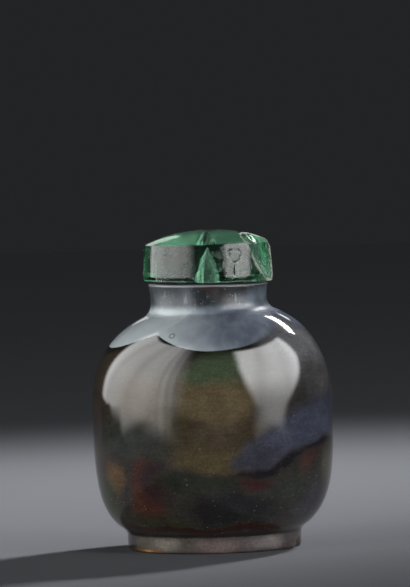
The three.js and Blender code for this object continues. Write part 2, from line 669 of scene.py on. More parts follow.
@dataclass(frozen=True)
class StreakedGlass:
    """The bottle's glass: streaked, glossy and faintly see-through, clearer at the neck and the foot.

    It reads the streaked colour, painted light among it, and the milky edge and tone that the vessel stores.
    Heights are millimetres.
    """

    foot_height: float
    neck_base: float
    lip: float
    bubble: tuple[float, float, float] = (-6.3 * MM, -12.9 * MM, 36.9 * MM)
    clarity: float = 0.1
    neck_clarity: float = 0.55
    foot_clarity: float = 0.4
    index: float = 1.52

    def body_colour(self, graph: Graph) -> bpy.types.NodeSocket:
        """The stored colour, clouded, scuffed and grained, with painted shade deepening up to the milky
        glass's lower edge.

        Args:
            graph: The material's graph.

        Returns:
            A colour socket.
        """
        cloud = graph.step(graph.noise(3.2), 0.25, 0.75, 0.82, 1.16)
        scuffs = graph.step(graph.noise(0.7, 3.0, 0.6, (0.35, 0.35, 1.6)), 0.3, 0.75, 0.9, 1.14)
        grain = graph.step(graph.noise(0.42, 2.0, 0.6), 0.3, 0.7, 0.86, 1.16)
        # painted shade: the body darkens up to the lower edge of the milky glass, as if shadowed by it
        under = graph.step(graph.stored("milk_edge"), -11.0, -0.5, 1.0, 0.4)
        return graph.shade(graph.stored("streaks_and_painted_light", True), cloud, scuffs, grain, under)

    def milk_colour(self, graph: Graph) -> bpy.types.NodeSocket:
        """The milky glass, from a blue grey to near white, faintly veiled.

        Args:
            graph: The material's graph.

        Returns:
            A colour socket.
        """
        veil = graph.step(graph.noise(1.9, 4.0, 0.55, (1.0, 1.0, 0.3)), 0.25, 0.75, -0.08, 0.08)
        tone = graph.maths("ADD", graph.stored("milk_tone"), veil)
        return graph.blend(tone, tint("6c7485"), tint("e6f2f6"))

    def seeded(self, graph: Graph, colour: bpy.types.NodeSocket) -> bpy.types.NodeSocket:
        """A colour with seeds in it, the fine ones low on the body, and the ring of the one large bubble.

        Args:
            graph: The material's graph.
            colour: The glass's colour.

        Returns:
            A colour socket.
        """
        low = graph.times(graph.along("Z", 24, 9), 0.42)
        fine = graph.times(graph.specks(0.75, 0.17, 0.42), low)
        few = graph.times(graph.specks(2.3, 0.055, 0.5), 0.8)
        colour = graph.blend(graph.maths("MAXIMUM", fine, few), colour, tint("9a9891"))
        away = graph.node("VectorMath", graph.place, self.bubble, operation="DISTANCE").outputs["Value"]
        ring = graph.times(graph.step(away, 0.24 * MM, 0.4 * MM), graph.step(away, 0.66 * MM, 0.5 * MM))
        return graph.blend(graph.times(ring, 0.6), colour, tint("55616b"))

    def neck_colour(self, graph: Graph) -> bpy.types.NodeSocket:
        """The neck's glass: cords, wisps and specks drawn out upwards, and a painted highlight line at the
        lip.

        Args:
            graph: The material's graph.

        Returns:
            A colour socket.
        """
        drawn = graph.step(graph.noise(2.6, 4.0, 0.55, (1.0, 1.0, 0.5)), 0.3, 0.7)
        colour = graph.shade(graph.stored("streaks_and_painted_light", True), graph.step(drawn, 0.0, 1.0, 0.7, 1.35))
        wisps = graph.step(graph.noise(0.9, 3.0, 0.6, (1.0, 1.0, 0.22)), 0.60, 0.70)
        colour = graph.blend(graph.times(wisps, 0.55), colour, tint("d6dcde"))
        colour = graph.blend(graph.specks(0.62, 0.22, 0.5), colour, tint("b4b9ba"))
        # painted highlight: a thin pale line just below the top of the lip
        wear_and_painted_highlight = graph.along("Z", self.lip - 0.42, self.lip - 0.22)
        return graph.blend(graph.times(wear_and_painted_highlight, 0.9), colour, tint("e6ebec"))

    def material(self) -> bpy.types.Material:
        """Puts the colours together, with a fine polish that is duller just below the neck.

        Returns:
            The material.
        """
        graph = Graph("streaked_glass")
        neck = graph.along("Z", self.neck_base - 0.5, self.neck_base + 1.1)
        foot = graph.along("Z", self.foot_height + 1.1, self.foot_height - 0.1)
        covered = graph.step(graph.stored("milk_edge"), 0.0, 1.0)
        colour = graph.blend(covered, self.body_colour(graph), self.milk_colour(graph))
        graph.feed(graph.blend(neck, self.seeded(graph, colour), self.neck_colour(graph)), "Base Color")
        above, below = graph.times(neck, self.neck_clarity), graph.times(foot, self.foot_clarity)
        clarity = graph.maths("MAXIMUM", graph.maths("MAXIMUM", above, below), self.clarity)
        graph.feed(clarity, "Transmission Weight")
        sheen = graph.step(graph.noise(5.0, 4.0), 0.3, 0.7, 0.05, 0.10)
        throat = graph.along("Z", self.neck_base - 1.6, self.neck_base - 0.2, 0.0, 0.34)
        graph.feed(graph.maths("MAXIMUM", sheen, throat), "Roughness")
        graph.plain(IOR=self.index)
        graph.bump(graph.noise(0.5, 3.0, 0.6, (1.0, 1.0, 0.2)), 0.004, 0.5)
        return graph.material


@dataclass
class Bottle:
    """The hollow vessel: foot ring, flattened barrel body, neck and lip. Lengths are millimetres.

    Its milk_tones are pairs of an azimuth in degrees and how pale the milky glass is there, from 0 to 1.
    """

    body: Barrel = Barrel(25.0, 20.5, 17.2, 2.2, 23.6, 4.0)
    cavity: Barrel = Barrel(24.0, 16.2, 13.6, 2.2, 18.0, 3.2)
    foot_radius: float = 14.8
    foot_height: float = 3.1
    foot_edge: float = 0.55
    foot_inner: float = 12.5
    foot_recess: float = 1.3
    foot_slope: float = 3.0
    foot_fillet: float = 0.75
    neck_base: float = 40.9
    neck_radius: float = 9.9
    neck_root: float = 1.0
    neck_waist: float = 0.12
    lip_flare: float = 0.25
    lip_edge: float = 0.35
    bore: float = 3.2
    bore_edge: float = 0.3
    belly_shift: float = 0.2
    shoulder_lift: float = 0.045
    shoulder_swell: float = 0.0012
    lip_fall: float = 0.015
    slow_wave: float = 0.0007
    quick_wave: float = 0.0005
    polished_off: float = 0.0012
    chip: Scar = Scar(74, 15.4, 0.4, 0, 0, 1.5, 1.5, 1.5)
    chip_ring: tuple[float, float] = (13.0, 1.6)
    columns: int = 272
    lobes: tuple[Lobe, ...] = (
        Lobe(-37, 2, 60, 37.5, 3.25, 0.16, 2.8),
        Lobe(60, 84, 128, 37.7, 2.6, 3.0),
        Lobe(128, 152, 186, 37.0, 2.6),
        Lobe(186, 214, 245, 37.2, 3.2),
        Lobe(245, 286, 323, 37.3, 1.9),
    )
    milk_tones: tuple[tuple[float, float], ...] = (
        (-180, 0.18), (-130, 0.25), (-85, 0.72), (-45, 0.95), (-22, 0.68), (-6, 0.3), (8, 0.06),
        (28, 0.03), (44, 0.09), (58, 0.06), (70, -0.06), (95, 0.06), (140, 0.15), (180, 0.18),
    )
    milk_level: float = 36.0
    milk_rim: float = 0.28
    seam_height: float = 37.3
    seam_lean: float = 5.3
    seam_tone: float = 0.10
    blotches: tuple[Blotch, ...] = blotched(
        (-58, 31, 9, 6, 0, "423c30", 0.5), (-74, 19, 4, 8, 0, "40352f", 0.6),
        (-40, 19.6, 12, 2.9, -4, "3c3e38", 0.5), (-30, 26.6, 8.5, 4.2, 0, "64573f", 0.5),
        (-16, 25, 4, 7, 8, "48422f", 0.5), (1, 27.0, 6.2, 5.8, 0, "6d6048", 0.35),
        (3, 19.6, 6.6, 3.2, 0, "554a3b", 0.9), (0, 15.8, 6.4, 2.5, -8, "5c5139", 0.5),
        (2, 31.4, 5.2, 2.5, 0, "4d5b45", 0.45), (-7, 22.2, 1.9, 0.9, 0, "3c3028", 0.8, 0.7),
        # The next line's two pale grey ovals paint a grey sheen on the right shoulder.
        (62, 31.5, 10, 6.5, 0, "6d6b6c", 0.7), (58, 35.5, 8, 3.2, 0, "a7a8ad", 0.8),
        (72, 23.2, 7, 4.0, 14, "4e5161", 0.5), (48, 20.6, 8, 3.2, 18, "565a6c", 0.5),
        (31, 18.4, 5.5, 2.2, 24, "505261", 0.6), (18, 16.0, 4.2, 1.3, 16, "454550", 0.6),
        (28, 14.9, 8.5, 0.55, 13, "242226", 0.6), (62, 18.0, 7, 0.5, 10, "29272b", 0.6),
        (39, 11.2, 5, 2.9, 8, "3a3c36", 0.5), (20, 12.3, 3.3, 1.2, 6, "422826", 0.5),
        (51, 15.2, 2.9, 1.5, 22, "4e3733", 0.5), (76, 13.5, 3.6, 3.6, 0, "565246", 0.5),
        (-36, 11.0, 3.6, 5.8, 3, "4f3129", 0.3), (-30, 12.4, 3.0, 3.2, 0, "3a2b2b", 0.4),
        (-59, 13.0, 2.3, 2.8, -14, "685238", 0.5), (-70, 9, 4.5, 3.6, 0, "3c4030", 0.5),
        (-8, 12.0, 7.0, 1.5, -5, "30342a", 0.5), (11, 7.6, 8.5, 2.6, 0, "272728", 0.5),
        (60, 8.4, 6, 3.2, 10, "3b3a3f", 0.5), (-32, 5.6, 7, 1.6, 0, "3a372a", 0.5),
        (0, 4.3, 17, 0.6, 0, "38221a", 0.6),
    )
    foot_ground: str = "4f4a48"
    foot_blotches: tuple[Blotch, ...] = blotched(
        (-82, 1.8, 5, 2.4, 0, "38342c", 0.6), (-50, 1.7, 3.4, 1.2, 0, "7b756a", 0.7),
        # On the next line, the pale oval at -33 degrees is a painted reflection of the left softbox on the
        # foot's wall.
        (-33, 1.6, 3.4, 1.1, 0, "aaa498", 0.7), (-15, 1.5, 1.9, 1.2, 0, "6c6862", 0.7),
        (4, 1.3, 4.4, 1.2, 0, "93837f", 0.7), (24, 1.3, 1.8, 1.2, 0, "7c7370", 0.7),
        (39, 1.6, 3.4, 1.1, 0, "a29996", 0.7), (66, 1.6, 3.6, 1.6, 0, "5f5652", 0.7),
        # The next two ovals paint a golden glint, with a pale core, at the foot's bottom-left edge.
        (-50, 0.4, 3.0, 0.26, 0, "a8743f", 0.8), (-49, 0.42, 1.3, 0.16, 0, "f0c486", 0.8),
        (0, 0.0, 200, 0.26, 0, "2d2826", 0.9, 0.6), (150, 1.6, 16, 1.0, 0, "857e7b", 0.7),
        # On the next line, the band at 3.15 mm is painted shade in the crease where the foot meets the body.
        (215, 1.2, 12, 0.9, 0, "54494a", 0.7), (0, 3.15, 200, 0.35, 0, "332c2a", 0.5),
    )
    neck_ground: str = "434a51"
    neck_blotches: tuple[Blotch, ...] = blotched(
        # On the next line, the pale oval at -58 degrees is a painted reflection along the neck's left edge.
        (-58, 43.4, 2.6, 3.0, 0, "565d63", 0.7), (-22, 43.0, 0.9, 2.4, 10, "6a7279", 0.8),
        (-5, 43.4, 1.8, 2.4, 0, "2e3236", 0.7), (12, 43.8, 1.8, 1.3, 0, "54504e", 0.7),
        (-2, 45.0, 1.5, 0.5, 0, "5a3a32", 0.7), (30, 43.4, 2.6, 2.2, 0, "191c20", 0.8),
        # On the next line, the pale oval at 52 degrees is a painted reflection along the neck's right edge,
        # and the pale band at 41 mm is a painted highlight line round the neck's base.
        (52, 42.6, 3.4, 1.3, 4, "8a97a4", 0.8), (0, 41.0, 200, 0.7, 0, "6b747e", 0.8, 0.8),
    )
    hidden_blotches: int = 22
    seed: int = 7

    def __post_init__(self) -> None:
        """Takes the lip's height and the body's flattening from the frame."""
        low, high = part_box("bottle")
        self.lip = high[2] / MM - self.lip_fall * self.neck_radius
        half_depth = (high[1] - low[1]) / 2 / MM
        self.flatten = (half_depth - self.neck_radius) / (self.body.radius - self.neck_radius)

    def profile(self) -> np.ndarray:
        """The section from under the foot, up the outside, over the lip, and down inside to the floor.

        Returns:
            Rows of (radius, height), starting and ending on the axis.
        """
        outer, inner = self.foot_radius, self.foot_inner
        below = self.body.side(False, outer + self.foot_fillet, 62)[::-1]
        above = self.body.side(True, self.neck_radius + self.neck_root, 62)[1:]
        lip_radius = self.neck_radius + self.lip_flare
        neck_foot = np.array([self.neck_radius, self.neck_base + self.neck_root])
        rise = np.linspace(0, 1, 18)[:, None]
        top = np.array([lip_radius, self.lip - self.lip_edge])
        neck = neck_foot * (1 - rise) + top * rise
        neck[:, :1] -= self.neck_waist * np.sin(math.pi * rise)
        recess = np.array([inner - self.foot_slope, self.foot_recess])
        wall = np.array([outer + 0.05, self.foot_height - 0.35])
        mouth = self.bore + self.bore_edge
        roof = self.cavity.side(True, self.bore, 30)[::-1]
        return np.concatenate([
            line((0, self.foot_recess), tuple(recess), 10),
            bend(recess, (inner - 0.9, self.foot_recess), np.array([inner, 0]), 8),
            line((inner, 0), (outer - self.foot_edge, 0), 4),
            arc((outer - self.foot_edge, self.foot_edge), self.foot_edge, -90, 0, 8),
            line((outer, self.foot_edge + 0.1), tuple(wall), 8),
            wall[None],
            bend(wall, (outer + 0.08, self.foot_height), below[0], 5),
            below,
            above,
            bend(above[-1], (self.neck_radius + 0.06, self.neck_base - 0.15), neck_foot, 9),
            neck,
            arc((lip_radius - self.lip_edge, self.lip - self.lip_edge), self.lip_edge, 10, 90, 6),
            line((lip_radius - self.lip_edge - 0.3, self.lip), (mouth, self.lip), 8),
            arc((mouth, self.lip - self.bore_edge), self.bore_edge, 90, 180, 5),
            line((self.bore, self.lip - 0.8), tuple(roof[0]), 10),
            roof,
            self.cavity.side(False, 0.0, 34)[1:],
        ])

    def ground(self, grid: np.ndarray) -> np.ndarray:
        """Leaves the turned shape as a hand-ground one.

        What stands out beyond the neck is flattened front to back, and the belly moves to the right.
        The shoulder rises by shares of x and its square, and the lip falls by a share of x. Waves of a
        few hundredths of a millimetre stay in the polish.

        Args:
            grid: The turned points.

        Returns:
            The points as ground.
        """
        x, y, z = np.moveaxis(grid, -1, 0)
        radius = np.hypot(x, y)
        beyond = np.maximum(0.0, radius - self.neck_radius)
        depth = 1.0 - beyond * (1.0 - self.flatten) / np.maximum(radius, 1e-6)
        middle = self.body.middle
        belly = eased(z, self.foot_height, middle / 2) * (1 - eased(z, middle, self.neck_base))
        lip = eased(z, self.neck_base, self.lip)
        shoulder = eased(z, middle, self.neck_base) * (1 - lip)
        rise = shoulder * (self.shoulder_lift * x + self.shoulder_swell * x * x) - lip * self.lip_fall * x
        slow, quick = Drift(15.0, 3).at(grid), Drift(6.0, 5).at(grid)
        wave = 1 + self.slow_wave * belly * slow + self.quick_wave * belly * quick - self.polished_off * belly
        return np.stack([x * wave + self.belly_shift * belly, y * depth * wave, z + rise], axis=-1)

    def build(self) -> bpy.types.Object:
        """Makes the vessel's mesh, stores its streaked colour, painted light among it, and its milky glass on
        it, and dresses it.

        Returns:
            The piece.
        """
        azimuth = np.linspace(-math.pi, math.pi, self.columns, endpoint=False)
        grid = self.chipped(self.ground(turned(self.profile(), azimuth)), azimuth)
        piece = skin("glass_bottle", grid)
        across = np.broadcast_to(np.degrees(azimuth), grid.shape[:2])
        lift = self.shoulder_lift * grid[..., 0] * eased(grid[..., 2], self.body.middle, self.milk_level)
        height = grid[..., 2] - lift
        # painted light: the stored colour holds painted highlights, reflections, sheen and shade as well as
        # the glass's own colour
        note(piece, "streaks_and_painted_light", self.streaks_and_painted_light(grid, across))
        edge, soft = self.milk(across)
        note(piece, "milk_edge", (height - edge) / soft)
        note(piece, "milk_tone", self.milk_tone(across, height, edge))
        piece.data.materials.append(StreakedGlass(self.foot_height, self.neck_base, self.lip).material())
        return piece

    def chipped(self, grid: np.ndarray, azimuth: np.ndarray) -> np.ndarray:
        """Takes the chip out of the foot's rim, along rays from a circle inside the foot ring.

        Args:
            grid: The ground points.
            azimuth: Their columns' azimuths in radians.

        Returns:
            The points as chipped.
        """
        ring, level = self.chip_ring
        swing = np.broadcast_to(azimuth, grid.shape[:2])
        heart = np.stack([ring * np.sin(swing), -ring * np.cos(swing), np.full(swing.shape, level)], axis=-1)
        near = (grid[..., 2] < self.foot_height) & (np.hypot(grid[..., 0], grid[..., 1]) > ring)
        carved, _, _ = self.chip.carve(grid, heart)
        return np.where(near[..., None], carved, grid)

    def all_blotches(self) -> tuple[Blotch, ...]:
        """The blotches of the front, and plainer ones of the same colours scattered round the back.

        Returns:
            The blotches in the order they are laid, the front's last.
        """
        random = np.random.default_rng(self.seed)
        kinds = list(Streak)
        hidden = tuple(
            Blotch(
                azimuth=float(random.uniform(92, 268)),
                height=float(random.uniform(5, 33)),
                wide=float(random.uniform(4, 11)),
                tall=float(random.uniform(1.6, 4.5)),
                lean=float(random.uniform(-18, 28)),
                colour=kinds[int(random.integers(len(kinds)))].value,
                soft=0.6,
                strength=0.75,
            )
            for _ in range(self.hidden_blotches)
        )
        return hidden + self.blotches

    def streaks_and_painted_light(self, grid: np.ndarray, across: np.ndarray) -> np.ndarray:
        """The glass's colour, painted highlights, reflections, sheen and shade among it: the body's blotches,
        on coordinates that drift, and the foot's and the neck's.

        Args:
            grid: The surface points.
            across: Their azimuths in degrees.

        Returns:
            Linear colours, (rows, columns, 3).
        """
        height = grid[..., 2]
        sway = drifted(across, grid, (12.0, 11, 2.4), (4.0, 12, 0.5))
        rise = drifted(height, grid, (10.0, 13, 0.45), (3.2, 14, 0.1))
        body = overlaid(Streak.SMOKE.value, self.all_blotches(), sway, rise, self.body.radius)
        foot = overlaid(self.foot_ground, self.foot_blotches, across, height, self.foot_radius)
        neck = overlaid(self.neck_ground, self.neck_blotches, across, height, self.neck_radius)
        low = (1 - eased(height, self.foot_height - 0.1, self.foot_height + 0.7))[..., None]
        high = eased(height, self.neck_base - 0.6, self.neck_base + 0.4)[..., None]
        return (body * (1 - low) + foot * low) * (1 - high) + neck * high

    def milk(self, across: np.ndarray) -> tuple[np.ndarray, np.ndarray]:
        """The milky glass's lower edge: notch - drop * (1 - t^2)^1.3, with t 0 at its lowest and 1 at an end.

        Args:
            across: Azimuths in degrees.

        Returns:
            The edge's height and its softness at each point.
        """
        first = self.lobes[0].start
        turn = (across - first) % 360.0 + first
        edge = np.zeros_like(across)
        soft = np.ones_like(across)
        for lobe in self.lobes:
            here = (turn >= lobe.start) & (turn < lobe.end)
            half = np.where(turn < lobe.lowest, lobe.lowest - lobe.start, lobe.end - lobe.lowest)
            t = np.clip((turn - lobe.lowest) / half, -1, 1)
            edge = np.where(here, lobe.notch - lobe.drop * (1 - t * t) ** 1.3, edge)
            soft = np.where(here, lobe.soft + lobe.fading * eased(t, 0.25, 1.0), soft)
        return edge, soft

    def milk_tone(self, across: np.ndarray, height: np.ndarray, edge: np.ndarray) -> np.ndarray:
        """How pale the milky glass is: by azimuth, paler at its lower edge and on the left lobe's overlap.

        Args:
            across: Azimuths in degrees.
            height: Heights, the shoulder's lift taken out.
            edge: The height of the milk's lower edge.

        Returns:
            Tones from 0 to about 1.2.
        """
        stops = np.array(self.milk_tones)
        tone = np.interp(across, stops[:, 0], stops[:, 1])
        above = np.maximum(height - edge, 0)
        rim = self.milk_rim * np.exp(-((above / 1.1) ** 2)) * (1 - eased(across, -8, 30))
        seam = self.lobes[0].start + (height - self.seam_height) * self.seam_lean
        overlap = self.seam_tone * (1 - eased(across - seam, -1.5, 1.5))
        ridge = self.seam_tone * np.exp(-(((across - seam) / 1.6) ** 2))
        return tone + rim + overlap + ridge


# ---------------------------------------------------------------- the stopper


@dataclass(frozen=True)
class GreenGlass:
    """The cap's glass, whose green deepens the further light goes in it."""

    index: float = 1.5
    green: tuple[float, float, float, float] = (0.15, 0.62, 0.38, 1)
    absorbed: float = 92.0

    def graph(self, name: str, clarity: float = 1.0) -> Graph:
        """Starts a finish of it.

        Args:
            name: The finish's name.
            clarity: The share of light that its surface lets through.

        Returns:
            The finish's graph.
        """
        graph = Graph(name)
        graph.plain(Transmission_Weight=clarity, IOR=self.index)
        depth = graph.node("VolumeAbsorption")
        fill(depth, Color=self.green, Density=self.absorbed)
        graph.links.new(depth.outputs[0], graph.output.inputs["Volume"])
        return graph


@dataclass(frozen=True, kw_only=True)
class PolishedGlass(GreenGlass):
    """Where the cap was polished: clear, and dulled by wear in patches down its side, below its rim."""

    rim: float

    def material(self) -> bpy.types.Material:
        """Dulls and roughens the side where it was handled, and along fine lines down it.

        Returns:
            The material.
        """
        graph = self.graph("clear_green_glass")
        graph.plain(Base_Color=(1, 1, 1, 1))
        side = graph.along("Z", self.rim, self.rim - 0.6)
        handled = graph.along("X", -2.0, 4.0, 0.8, 1.0)
        wear = graph.noise(1.5, 4.0, 0.58)
        drawn = graph.noise(0.45, 2.0, 0.5, (1.0, 1.0, 0.12))
        wear_and_painted_highlight = graph.times(graph.step(wear, 0.42, 0.66), handled)
        dull = graph.maths("ADD", wear_and_painted_highlight, graph.times(graph.step(drawn, 0.4, 0.8), 0.4))
        graph.feed(graph.step(graph.times(dull, side), 0.0, 1.2, 0.06, 0.34), "Roughness")
        relief = graph.maths("ADD", graph.times(wear, handled), graph.times(drawn, 0.18))
        graph.bump(graph.times(relief, side), 0.006)
        return graph.material


@dataclass(frozen=True)
class FrostedGlass(GreenGlass):
    """Where the cap was drilled and ground, and left matt."""

    roughness: float = 0.6
    grit: float = 0.6

    def material(self) -> bpy.types.Material:
        """Mottles the glass's tint dark and pale as painted highlights, and roughens it, with relief the size
        of the grit.

        Returns:
            The material.
        """
        graph = self.graph("frosted_green_glass")
        graph.plain(Roughness=self.roughness)
        # painted highlights: patches of pale and dark tint in the socket and on the underside
        painted_mottle = graph.step(graph.noise(1.1, 3.0, 0.6), 0.35, 0.65)
        graph.feed(graph.blend(painted_mottle, (0.22, 0.22, 0.22), (0.8, 0.8, 0.8)), "Base Color")
        graph.bump(graph.noise(self.grit, 4.0, 0.6), 0.05)
        return graph.material


@dataclass(frozen=True)
class BruisedGlass(GreenGlass):
    """Where the cap was crushed white, along a broken edge."""

    clarity: float = 0.4
    roughness: float = 0.4

    def material(self) -> bpy.types.Material:
        """Whitens the glass, unevenly.

        Returns:
            The material.
        """
        graph = self.graph("bruised_glass", self.clarity)
        graph.plain(Roughness=self.roughness)
        crushed = graph.step(graph.noise(0.4, 4.0, 0.6), 0.3, 0.7)
        graph.feed(graph.blend(crushed, tint("8a958b"), tint("dcdacb")), "Base Color")
        return graph.material


@dataclass(frozen=True)
class Pit:
    """A ring sunk into the cap's side and a nick below it. Lengths are millimetres and angles degrees."""

    azimuth: float = 25.0
    height: float = 50.0
    radius: float = 1.05
    width: float = 0.17
    depth: float = 0.055
    nick_aside: float = 1.5
    nick_top: float = 1.1
    nick_width: float = 0.12
    nick_depth: float = 0.07
    wander: float = 0.12

    def sink(self, grid: np.ndarray, bottom: float, least: float) -> np.ndarray:
        """Draws the cap's side in: each trough is exp(-(d / width)^2), d off a line that wanders.

        Args:
            grid: The cap's points.
            bottom: The height of its underside.
            least: The radius inside which nothing sinks.

        Returns:
            The points as sunk.
        """
        x, y, z = np.moveaxis(grid, -1, 0)
        radius = np.hypot(x, y)
        swing = np.degrees(np.arctan2(x, -y)) - self.azimuth
        away = np.hypot(np.radians(swing) * radius, z - self.height)
        drift = np.clip(Drift(1.9, 44).at(grid), -1.2, 1.2)
        ring = np.exp(-(((away - self.radius - self.wander * drift) / self.width) ** 2))
        aside = np.radians(swing + self.nick_aside) * radius - self.wander * drift
        nick = np.exp(-((aside / self.nick_width) ** 2))
        nick *= eased(z, bottom + 0.7, bottom + 1.2) * (z < self.height - self.nick_top)
        depth = (self.depth + 0.03 * drift) * ring + (self.nick_depth + 0.02 * drift) * nick
        depth *= radius > least
        sunk = grid.copy()
        sunk[..., :2] *= (1 - depth / np.maximum(radius, 1.0))[..., None]
        return sunk


@dataclass
class GlassCap:
    """The domed green cap, drilled from below and broken at its right. Lengths are millimetres."""

    bottom_radius: float = 11.1
    rim_radius: float = 10.75
    dome: float = 2.2
    dome_power: float = 2.4
    bevel: float = 0.25
    undercut: float = 0.13
    undercut_rise: float = 1.1
    arris: float = 0.15
    socket_radius: float = 1.3
    socket_depth: float = 5.6
    socket_power: float = 1.7
    dome_lift: float = 0.013
    underside_fall: float = 0.018
    scars: tuple[Scar, ...] = (
        Scar(68, 13.8, 53.5, 13, 30, 5.3, 9.4, 17),
        Scar(69, 10.3, 54.8, 59, 20, 3.4, 10.3, 5.8),
        Scar(92, 11.7, 53, 38, 0, 2, 4.6, 3.4),
    )
    scar_heart: float = 3.6
    ripple: float = 0.02
    bruise: float = 0.33
    rim_spread: float = 1.6
    pit: Pit = Pit()
    columns: int = 380
    dense: float = 0.55

    def __post_init__(self) -> None:
        """Takes the underside's and the dome's heights from the frame."""
        low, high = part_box("glass_cap")
        self.bottom = low[2] / MM + self.underside_fall * (self.bottom_radius - self.bevel)
        self.rim = high[2] / MM - self.dome

    def azimuths(self) -> np.ndarray:
        """Azimuths round the cap, closer together near the scar: a - dense * sin(a - facing).

        Returns:
            One azimuth for each column, in radians.
        """
        even = np.linspace(-math.pi, math.pi, self.columns, endpoint=False)
        facing = math.radians(self.scars[0].azimuth)
        return even - self.dense * np.sin(even - facing)

    def profile(self) -> np.ndarray:
        """The section from the socket's tip, down its wall, under, up the side and over the dome.

        Returns:
            Rows of (radius, height), starting and ending on the axis.
        """
        share = np.linspace(0, 1, 22)[:, None]
        socket = np.concatenate([
            self.socket_radius * (1 - (1 - share) ** self.socket_power),
            self.bottom + self.socket_depth * (1 - share),
        ], axis=1)
        along = np.linspace(0, 1, 62)[:, None]
        dome = np.concatenate([
            self.rim_radius * (1 - along),
            self.rim + self.dome * (1 - (1 - along) ** self.dome_power),
        ], axis=1)
        side = line((self.bottom_radius, self.bottom + 0.2), (self.rim_radius, self.rim - 0.05), 66)
        side[:, 0] -= self.undercut * (1 - eased(side[:, 1], self.bottom, self.bottom + self.undercut_rise))
        edge = side[0, 0] - self.arris
        return np.concatenate([
            socket,
            line((self.socket_radius + 0.3, self.bottom), (edge, self.bottom), 18),
            arc((edge, self.bottom + self.arris), self.arris, -90, -10, 5),
            side,
            dome,
        ])

    def build(self) -> bpy.types.Object:
        """Makes the cap's mesh, broken and pitted, with its bruised faces in a slot of their own.

        Returns:
            The piece.
        """
        grid = turned(self.profile(), self.azimuths())
        drilled = np.hypot(grid[..., 0], grid[..., 1]) < self.socket_radius + 0.1
        drilled &= grid[..., 2] < self.bottom + self.socket_depth + 0.1
        rough = drifted(1.0, grid, (1.8, 41, 0.05), (0.6, 42, 0.03))
        grid[..., :2] *= np.where(drilled, rough, 1.0)[..., None]
        ground = drilled | (grid[..., 2] < self.bottom + 0.05)
        grid = self.pit.sink(self.uneven(grid, ~drilled), self.bottom, self.rim_radius - 0.5)
        grid, rim = self.broken(grid, ~drilled)
        piece = skin("green_cap", grid)
        for glass in (PolishedGlass(rim=self.rim), BruisedGlass(), FrostedGlass()):
            piece.data.materials.append(glass.material())
        piece.data.set_sharp_from_angle(angle=math.radians(24))
        self.assign(piece, grid, rim, ground)
        return piece

    def uneven(self, grid: np.ndarray, outer: np.ndarray) -> np.ndarray:
        """Raises the right of the dome, but not of the socket, and lowers the right of the underside.

        Args:
            grid: The turned points.
            outer: Whether each point is outside the socket.

        Returns:
            The points as lifted.
        """
        x, y, z = np.moveaxis(grid, -1, 0)
        up = eased(z, self.bottom, self.rim)
        lifted = z + np.where(outer, self.dome_lift * up, 0) * x - self.underside_fall * (1 - up) * x
        return np.stack([x, y, lifted], axis=-1)

    def broken(self, grid: np.ndarray, outer: np.ndarray) -> tuple[np.ndarray, np.ndarray]:
        """Takes each scar's glass off the outside. A point drawn back by d is rim_spread * d inside the rim.

        Args:
            grid: The cap's points.
            outer: Whether each point is outside the socket.

        Returns:
            The points as broken, and each point's distance from the nearest rim.
        """
        heart = np.array([0.0, 0.0, self.bottom + self.scar_heart])
        lost = np.zeros(grid.shape[:2])
        beside = np.full(grid.shape[:2], np.inf)
        for scar in self.scars:
            carved, pulled, outside = scar.carve(grid, heart, self.ripple)
            lost = np.maximum(lost, np.where(outer, pulled, 0.0))
            beside = np.minimum(beside, outside)
            grid = np.where(outer[..., None], carved, grid)
        return grid, np.where(lost > 0, lost * self.rim_spread, beside)

    def assign(self, piece: bpy.types.Object, grid: np.ndarray, rim: np.ndarray, ground: np.ndarray) -> None:
        """Gives the faces along the scars' rims the bruised finish, and drilled and ground ones the frosted.

        A face takes a finish when at least three of its corners are marked for it.

        Args:
            piece: The cap.
            grid: Its points.
            rim: Each point's distance from the nearest rim.
            ground: Whether each point is in the socket or on the underside.
        """
        width = drifted(self.bruise, grid, (2.4, 31, 0.13), (0.8, 32, 0.07))
        mesh = piece.data
        corners = np.empty(len(mesh.loops), dtype=np.int64)
        mesh.loops.foreach_get("vertex_index", corners)
        first = np.empty(len(mesh.polygons), dtype=np.int64)
        mesh.polygons.foreach_get("loop_start", first)
        slots = np.zeros(len(first), dtype=np.int32)
        bruised, frosted, enough = 1, 2, 2.5
        for slot, mask in ((bruised, rim < width), (frosted, ground)):
            count = np.add.reduceat(loose(mask.astype(float), 1.0)[corners], first)
            slots[count > enough] = slot
        mesh.polygons.foreach_set("material_index", slots)


@dataclass(frozen=True)
class OldCork:
    """Old cork: brown, darker in its pores, matt."""

    dark: str = "3a2214"
    pale: str = "8a5a35"
    pore: str = "1f120a"

    def material(self) -> bpy.types.Material:
        """Mottles the brown with grain, scatters the pores and raises the grain.

        Returns:
            The material.
        """
        graph = Graph("old_cork")
        grain = graph.noise(0.9, 5.0, 0.65)
        colour = graph.blend(graph.step(grain, 0.35, 0.65), tint(self.dark), tint(self.pale))
        graph.feed(graph.blend(graph.specks(0.6, 0.3, 0.4), colour, tint(self.pore)), "Base Color")
        graph.feed(graph.step(grain, 0.3, 0.7, 0.75, 0.95), "Roughness")
        graph.bump(grain, 0.08)
        return graph.material


